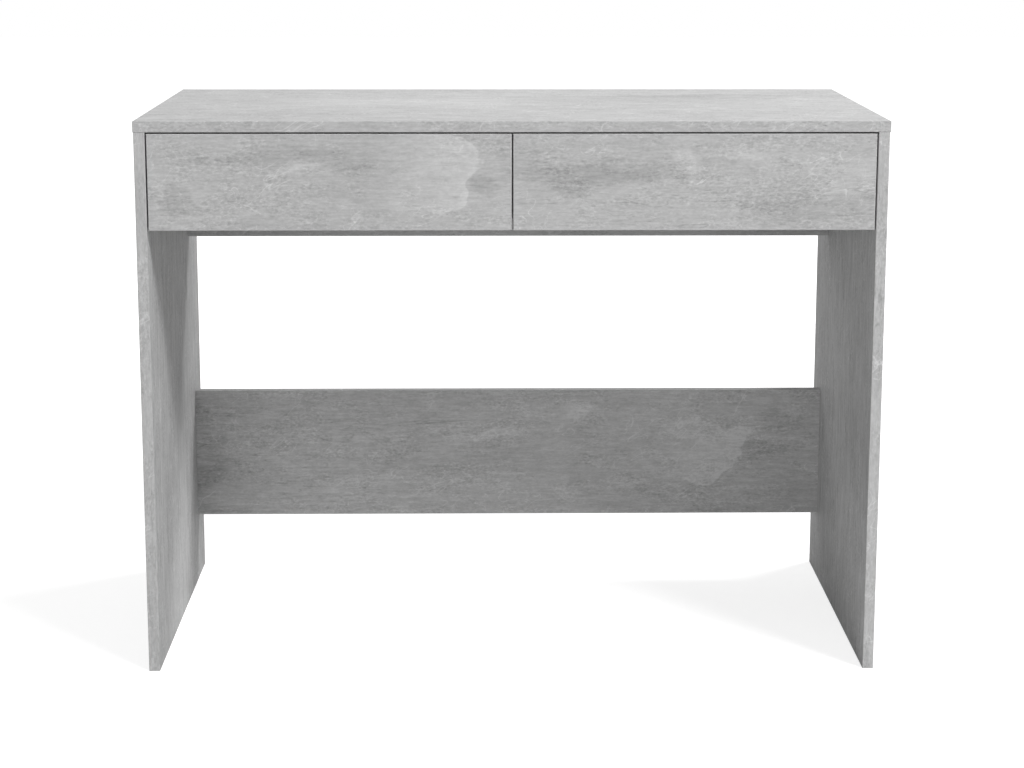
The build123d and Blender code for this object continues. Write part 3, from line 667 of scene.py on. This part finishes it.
# A screw: its head's rows, a shank divided finely for the thread, and a tip that narrows in two steps
def screw(look, head, sites):
    core, length = look["core"], look["length"]
    shank = [(core, h) for h in np.arange(look["shankFrom"], length - 1.6, threadStep)]
    tip = [(core * 0.7, length - 1.0), (core * 0.25, length - 0.2), (0, length)]
    return turned(head + shank + tip, sites, look["steps"], threaded(look, crossCut(look)))


runnerSites = [  # hand, place, carcass face, way to the drawer, shift of its screws
    ("left", "outer", -plan["sideFace"], 1, 0),
    ("left", "inner", -plan["partitionFace"], -1, 0),
    ("right", "inner", plan["partitionFace"], 1, plan["innerShift"]),
    ("right", "outer", plan["sideFace"], -1, 0),
]
runnerScrew = {
    "head": 3.4, "headHeight": 1.2, "recess": 0.7, "arm": 1.9, "slot": 0.8, "faceBelow": -0.5,
    "core": 1.25, "crest": 1.75, "pitch": 1.35, "length": 14.2, "shankFrom": 0.4, "thread": (0.5, 12.4),
    "steps": 36, "run": (37, 165, 293),  # places along the runner
}


# A flat dome: height falls with the square of the radius
def panHead(look):
    r = np.array([0, 0.25, 0.45, 0.7, 1.0, 1.3, 1.6, 1.85, 2.1, 2.5, 2.9, look["head"] - 0.15])
    tops = -look["headHeight"] + 0.45 * (r / look["head"]) ** 2
    tops[0] += look["recess"]
    rim = [(look["head"], -0.45), (look["head"], -0.05), (look["head"] - 0.05, 0), (look["core"], 0)]
    return list(zip(r, tops)) + rim


first, level = plan["runnerFront"], plan["axleLevel"]
sites = [((face + way * plan["sheet"], first + y + shift, level), -way * xAxis, yAxis)
         for hand, place, face, way, shift in runnerSites for y in runnerScrew["run"]]
piece("runnerPanScrews", [screw(runnerScrew, panHead(runnerScrew), sites)],
      "steel", "root", "cabinet_runner_screws")

# Confirmat screws: wide countersunk head, plain neck, coarse thread
confirmat = {
    "head": 5, "neck": 3.2, "neckEnd": 14.0, "recess": 2.0, "arm": 2.5, "slot": 1.2, "faceBelow": 0.1,
    "core": 2.4, "crest": 3.15, "pitch": 3.0, "length": 49.8, "shankFrom": 14.3, "thread": (14.2, 47.5),
    "steps": 40, "down": (30, 88), "sunk": 0.2,
}
look = confirmat
face = [(r, 0.0) for r in (0.4, 0.7, 1.0, 1.4, 1.8, 2.2, 2.6, 3.2, 3.9, look["head"] - 0.2)]
head = [(0, look["recess"])] + face + [
    (look["head"], 0.25), (look["head"], 1.0), (look["neck"], 3.8), (look["neck"], look["neckEnd"])]
sites = [((0, plan["apronRear"] - look["sunk"], plan["underTop"] - z), -yAxis, xAxis) for z in look["down"]]
piece("confirmats", [screw(look, head, sites)], "steel", "root", "confirmat_screws")

# Cam caps: thin discs with a moulded ring and a shallow dimple
cap = {"radius": 9.0, "height": 0.9, "steps": 48}
rise, wide = cap["height"], cap["radius"]
rows = [(0, rise - 0.28), (1.2, rise - 0.26), (2.2, rise - 0.16), (3.0, rise - 0.02), (3.6, rise),
        (6.0, rise - 0.02), (6.4, rise - 0.18), (6.9, rise - 0.18), (7.3, rise - 0.06),
        (wide - 0.8, rise - 0.16), (wide - 0.3, 0.55), (wide - 0.05, 0.3), (wide, 0.08),
        (wide - 0.04, 0), (0, 0)]
railCamX = plan["sideFace"] - plan["camInset"]
railCamDown = (32, 168)  # from the upper edge of the apron, and from the lower edge of the brace
apronCams = [(s * railCamX, plan["apronRear"], plan["underTop"] - z) for s in (-1, 1) for z in railCamDown]
braceCams = [(s * railCamX, plan["braceRear"], plan["braceFoot"] + z) for s in (-1, 1) for z in railCamDown]
piece("camCapDiscs", [turned(rows, [(place, yAxis, xAxis) for place in apronCams + braceCams], cap["steps"])],
      "cap", "root", "cam_caps")

cam = {
    "radius": 7.5, "depth": 12.0, "arm": 4.0, "slot": 1.6, "recess": 1.8, "faceBelow": 0.2,
    "steps": 60, "ribs": 15, "sideY": (-200, 200), "partitionY": (-180, 90),
}


# A cam: the radius drops in ribs round the drum and in a mouth on the side of the bolt
def camShape(look):
    cut = crossCut(look)

    def shape(radius, height, angle):
        radius, height = cut(radius, height, angle)
        rim = (radius > look["radius"] * 0.9) & (height > 1.2) & (height < look["depth"] - 0.8)
        bolt = np.minimum(angle, 2 * np.pi - angle)
        mouth = np.clip((0.62 - bolt) / 0.12, 0, 1) * (height > 2.4) * (height < look["depth"] - 2.2)
        rib = 0.22 * (np.sin(angle * look["ribs"]) > 0.3)
        return np.where(rim, radius - rib - look["radius"] * 0.38 * mouth, radius), height
    return shape


# The rows of a cam: a face with one sunk ring, a chamfered rim and a straight drum
def camDrum(look, sites):
    wide, deep = look["radius"], look["depth"]
    r = [0.3, 0.6, 0.85, 1.1, 1.6, 2.2, 2.8, 3.3, 3.8, 4.2, 4.8, wide * 0.76, wide * 0.82, wide * 0.88]
    rows = [(0, look["recess"])]
    rows += [(a, 0.35 if wide * 0.7 < a < wide * 0.84 else 0.0) for a in sorted(r)]
    rows += [(wide - 0.25, 0.0), (wide, 0.3)] + [(wide, h) for h in np.linspace(1.0, deep - 0.6, 14)]
    rows += [(wide - 0.3, deep), (0, deep)]
    return turned(rows, sites, look["steps"], camShape(look))


camLevel = plan["underTop"] - plan["camInset"]
carcassCams = [((s * (plan["sideFace"] + plan["sink"]), y, camLevel), s * xAxis, zAxis)
               for s in (-1, 1) for y in cam["sideY"]]
carcassCams += [((plan["sink"] - plan["partitionFace"], y, camLevel), xAxis, zAxis)
                for y in cam["partitionY"]]
carcassCams += [((x, y - plan["sink"], z), -yAxis, np.sign(x) * xAxis) for x, y, z in apronCams + braceCams]
piece("camDrums", [camDrum(cam, carcassCams)], "zinc", "root", "cam_housings")

camBolt = {
    "tip": 1.6, "core": 2.1, "crest": 2.95, "pitch": 2.2, "thread": (-10.0, -0.6), "steps": 32,
    "stem": [(3.0, -0.4), (3.0, 11.0), (2.9, 12.0), (2.2, 14.0), (1.9, 16.0), (1.9, 19.4), (2.6, 19.8),
             (3.4, 20.4), (3.7, 21.4), (3.6, 22.6), (3.0, 23.5), (1.8, 23.95), (0, 24.0)],
}


# A cam bolt: tip and threaded root below its foot; the stem gives collar, waist and round head
def camPin(look, sites):
    root = [(look["core"], h) for h in np.arange(-9.6, -0.6, threadStep)]
    rows = [(0, -10.5), (look["tip"], -10.4), (look["core"], -9.9)] + root + look["stem"]
    return turned(rows, sites, look["steps"], threaded(look))


inward = plan["board"] / 2 - plan["sink"]
boltSites = [(np.array(foot) + axis * inward + side * plan["camInset"], -side, axis)
             for foot, axis, side in carcassCams]
piece("camBoltPins", [camPin(camBolt, boltSites)], "steel", "root", "cam_bolts")

dowel = {"radius": 4.0, "length": 30, "flutes": 16, "depth": 0.05, "steps": 64, "inBoard": 10,
         "sideY": (-168, 168), "partitionY": -45, "apronX": (-240, 240)}


# A dowel: chamfered ends; its flutes are a cosine of the angle, pressed in
def peg(look, sites):
    wide, length = look["radius"], look["length"]

    def fluted(radius, height, angle):
        groove = np.clip(np.cos(angle * look["flutes"]) * 2 - 0.6, 0, 1)
        return radius * (1 - look["depth"] * groove), height
    rows = [(0, 0), (wide * 0.75, 0), (wide - 0.1, 0.8)]
    rows += [(wide, h) for h in np.linspace(1.0, length - 1, 5)]
    rows += [(wide - 0.1, length - 0.8), (wide * 0.75, length), (0, length)]
    return turned(rows, sites, look["steps"], fluted)


half = plan["board"] / 2
apronMiddle, braceMiddle = plan["apronRear"] - half, plan["braceRear"] - half
uprights = [(s * (plan["sideFace"] + half), y) for s in (-1, 1) for y in dowel["sideY"]]
uprights += [(0, dowel["partitionY"])] + [(x, apronMiddle) for x in dowel["apronX"]]
railDowels = [(apronMiddle, plan["underTop"] - z) for z in (64, 136)]
railDowels += [(braceMiddle, plan["braceFoot"] + z) for z in (64, 136)]
sites = [((x, y, plan["underTop"] + dowel["inBoard"]), -zAxis, xAxis) for x, y in uprights]
sites += [((s * (plan["sideFace"] + dowel["inBoard"]), y, z), -s * xAxis, zAxis)
          for s in (-1, 1) for y, z in railDowels]
piece("flutedDowels", [peg(dowel, sites)], "beech", "root", "wooden_dowels")
print("carcass fittings made")

wheel = {"bore": 2.55, "radius": 9.0, "width": 5.6, "start": 3.5, "dish": 0.8, "spokes": 6,
         "web": (4.0, 7.3), "steps": 72}


# A roller: crowned rim, round hub, and sides that sink by the dish between raised spokes
def spoked(radius, height, angle):
    web = (radius > wheel["web"][0]) & (radius < wheel["web"][1])
    spoke = np.clip(np.cos(angle * wheel["spokes"]) * 3 - 1.6, 0, 1)
    side = np.where(height < wheel["width"] / 2, 1, -1)
    return radius, np.where(web, height + side * wheel["dish"] * (1 - spoke), height)


wide = wheel["radius"]
halfRows = [(wheel["bore"], 0.15), (2.75, 0), (3.6, 0), (3.9, 0.05), (4.1, 0.05), (4.6, 0.05), (6.6, 0.05),
            (7.1, 0.05), (7.4, 0.05), (7.7, 0.0), (wide - 0.7, 0), (wide - 0.3, 0.15), (wide - 0.1, 0.5),
            (wide - 0.03, 1.2), (wide, 2.0)]
wheelRows = halfRows + [(wide, wheel["width"] / 2)] + [(a, wheel["width"] - h) for a, h in halfRows[::-1]]
for hand, place, face, way, shift in runnerSites:
    for end, y in (("front", plan["frontAxle"]), ("rear", plan["rearAxle"])):
        body = f"{hand}_{place}_{end}_roller"
        site = ((face + way * wheel["start"], y, plan["axleLevel"]), way * xAxis, zAxis)
        piece(f"{hand}_{place}_{end}_wheel", [turned(wheelRows, [site], wheel["steps"], spoked, loop=True)],
              "nylon", body, body)

pin = {"axle": 2.5, "collar": 4.0, "steps": 40,
       "trim": 0.1}  # the drawer's pins are this much shorter: their rollers run nearer to their feet


# Rows of a pin: riveted foot, collar, axle and domed end
def pinRows(trim):
    axle, collar = pin["axle"], pin["collar"]
    beyond = [(collar, 3.2), (collar - 0.1, 3.4), (axle, 3.4), (axle, 9.2), (collar - 0.1, 9.2),
              (collar, 9.35), (collar - 0.2, 9.6), (3.0, 9.8), (1.6, 9.9), (0, 9.9)]
    rivet = [(0, 0), (axle, 0), (axle, 1.2), (collar - 0.1, 1.2), (collar, 1.4)]
    return rivet + [(a, h - trim) for a, h in beyond]


sites = [((face, plan["frontAxle"], plan["axleLevel"]), way * xAxis, zAxis)
         for hand, place, face, way, shift in runnerSites]
piece("cabinetAxles", [turned(pinRows(0), sites, pin["steps"])],
      "steel", "root", "cabinet_roller_pins")

channel = {
    "cabinet": [(10.0, -3.4), (6.8, -3.4), (5.2, -3.4), (3.8, -3.4), (2.4, -3.4), (0.6, -3.4),
                (0.6, 18.6), (8.5, 18.6)],
    "drawer": [(23.5, -0.6), (11.9, -0.6), (11.9, 16.6), (3.0, 16.6)],
    "length": 350, "travel": 260, "bend": 0.7, "corner": 3.0,
    "stop": 2.4, "stopLength": 9.0,
    "stopAhead": 6.3,  # from the rear axle of the open drawer forwards to the middle of the stop
}


# How far a flange's free corner is cut back near the runner's two ends: a quarter circle
def cutBack(run, first):
    corner = channel["corner"]
    near = np.clip(corner - np.minimum(run - first, first + channel["length"] - run), 0, corner)
    return corner - np.sqrt(corner ** 2 - near ** 2)


# Cabinet channel: flanges with rounded corners, and a stop pressed up across the track as a smooth ridge
def channelShape(first, stopAt):
    reach, rib = channel["cabinet"][0][0], channel["cabinet"][-1][0]

    def shape(out, up, run):
        out = np.minimum(out, np.where(up < 0, reach, rib) - cutBack(run, first))
        bump = np.clip(1 - np.abs(run - stopAt) / (channel["stopLength"] / 2), 0, 1)
        track = np.clip((out - 2.2) / 1.5, 0, 1) * (up < 0)
        return out, up + channel["stop"] * (bump * bump * (3 - 2 * bump)) * track
    return shape


# Drawer rail: the ledge reaches one way and the rib the other, both with rounded corners
def railShape(first):
    ledge, rib = channel["drawer"][0][0], channel["drawer"][-1][0]

    def shape(out, up, run):
        cut = cutBack(run, first)
        return np.clip(out, rib + np.where(up > 10, cut, 0), ledge - np.where(up < 2, cut, 0)), up
    return shape


# Stations along a runner: close at its ends and round its stop
def stationsOf(first, stops=()):
    ends, last = np.array([0, 0.15, 0.4, 0.8, 1.3, 2.0, 3.0]), first + channel["length"]
    places = [first + ends, last - ends, np.linspace(first + 8, last - 8, 20)]
    places += [stop + np.linspace(-4.8, 4.8, 17) for stop in stops]
    return np.unique(np.round(np.concatenate(places), 3))


channelSection = sheetSection(channel["cabinet"], plan["sheet"], channel["bend"])
railSection = sheetSection(channel["drawer"], plan["sheet"], channel["bend"])
stopAt = plan["rearAxle"] - channel["travel"] - channel["stopAhead"]
for hand, place, face, way, shift in runnerSites:
    first, corner = plan["runnerFront"], (face, plan["boxBottom"])
    folded = carried(channelSection, stationsOf(first, [stopAt]), corner, way, channelShape(first, stopAt))
    piece(f"{hand}_{place}_cabinet_channel", [folded],
          "coat", "root", f"{hand}_{place}_cabinet_runner")
    first = plan["frontBack"]
    folded = carried(railSection, stationsOf(first), corner, way, railShape(first))
    piece(f"{hand}_{place}_drawer_rail", [folded],
          "coat", f"{hand}_drawer", f"{hand}_{place}_drawer_runner")
print("rollers and runners made")

smallCam = {**cam, "radius": 6.0, "depth": 9.7, "arm": 3.25, "slot": 1.4, "recess": 1.5}
smallBolt = {
    "tip": 1.4, "core": 1.75, "crest": 2.45, "pitch": 2.0, "thread": (-10.0, -0.6), "steps": 32,
    "stem": [(2.5, -0.4), (2.5, 9.0), (1.9, 11.0), (1.6, 12.0), (1.6, 15.6), (2.3, 16.1), (3.0, 16.9),
             (3.1, 17.8), (2.7, 18.9), (1.5, 19.6), (0, 19.7)],
}
smallDowel = {"radius": 3.0, "length": 25, "flutes": 12, "depth": 0.05, "steps": 48, "inBoard": 10,
              "level": 28}  # above the bottom of the drawer box
backScrew = {
    "recess": 1.1, "arm": 1.9, "slot": 0.8, "faceBelow": 0.03, "core": 1.3, "crest": 1.8, "pitch": 1.6,
    "length": 40.0, "shankFrom": 3.4, "thread": (3.2, 38.4), "steps": 32, "sunk": 0.2,
    "neck": [(3.45, 0.05), (3.5, 0.2), (3.4, 0.6), (1.8, 2.4), (1.8, 3.0)],
}
ledgeScrew = {
    "recess": 0.6, "arm": 1.7, "slot": 0.7, "faceBelow": -0.6, "core": 1.1, "crest": 1.5, "pitch": 1.2,
    "length": 11.0, "shankFrom": 0.4, "thread": (0.5, 9.4), "steps": 28, "run": (35, 175, 315),
    "inset": 3.8,  # from the drawer side's outer face
}
sunkHead = [(0, backScrew["recess"])]
sunkHead += [(r, 0.0) for r in (0.25, 0.45, 0.7, 1.0, 1.3, 1.6, 1.85, 2.1, 2.6, 3.1)] + backScrew["neck"]
domeHead = [(0, ledgeScrew["recess"] - 1.2)]
domeHead += [(r, -1.2 + 0.03 * r * r) for r in (0.25, 0.45, 0.7, 1.0, 1.3, 1.6, 1.9, 2.3, 2.7)]
domeHead += [(2.95, -0.6), (3.0, -0.2), (2.95, 0), (ledgeScrew["core"], 0)]
faces = ((plan["partitionFace"] + plan["runnerRoom"], 1), (plan["sideFace"] - plan["runnerRoom"], -1))
front, boxCamLevel = plan["frontBack"], plan["boxTop"] - 25
camDeep, ledgeLevel = plan["drawerBoard"] - plan["sink"], plan["boxBottom"] - plan["sheet"]
for hand, s in (("left", -1), ("right", 1)):
    body = f"{hand}_drawer"
    middles = [s * (x + way * plan["drawerBoard"] / 2) for x, way in faces]
    camSites = [((s * (x + way * camDeep), front + 20, boxCamLevel), -s * way * xAxis, -yAxis)
                for x, way in faces]
    piece(f"{hand}_small_cams", [camDrum(smallCam, camSites)],
          "zinc", body, f"{hand}_drawer_cams")
    sites = [((x, front, boxCamLevel), yAxis, xAxis) for x in middles]
    piece(f"{hand}_small_bolts", [camPin(smallBolt, sites)],
          "steel", body, f"{hand}_drawer_bolts")
    level = plan["boxBottom"] + smallDowel["level"]
    sites = [((x, front - smallDowel["inBoard"], level), yAxis, xAxis) for x in middles]
    piece(f"{hand}_small_dowels", [peg(smallDowel, sites)],
          "beech", body, f"{hand}_drawer_dowels")
    backSites = [((s * (x + way * backScrew["sunk"]), plan["boxRear"] - 6, z), s * way * xAxis, yAxis)
                 for x, way in faces for z in (plan["boxBottom"] + 25, plan["boxTop"] - 20)]
    ledgeSites = [((s * (x + way * ledgeScrew["inset"]), front + y, ledgeLevel), zAxis, xAxis)
                  for x, way in faces for y in ledgeScrew["run"]]
    both = [screw(backScrew, sunkHead, backSites), screw(ledgeScrew, domeHead, ledgeSites)]
    piece(f"{hand}_wood_screws", both, "steel", body, f"{hand}_drawer_screws")
    sites = [((s * x, plan["rearAxle"], plan["axleLevel"]), -s * way * xAxis, zAxis) for x, way in faces]
    piece(f"{hand}_drawer_axles", [turned(pinRows(pin["trim"]), sites, pin["steps"])],
          "steel", body, f"{hand}_drawer_roller_pins")
print("drawers fitted")
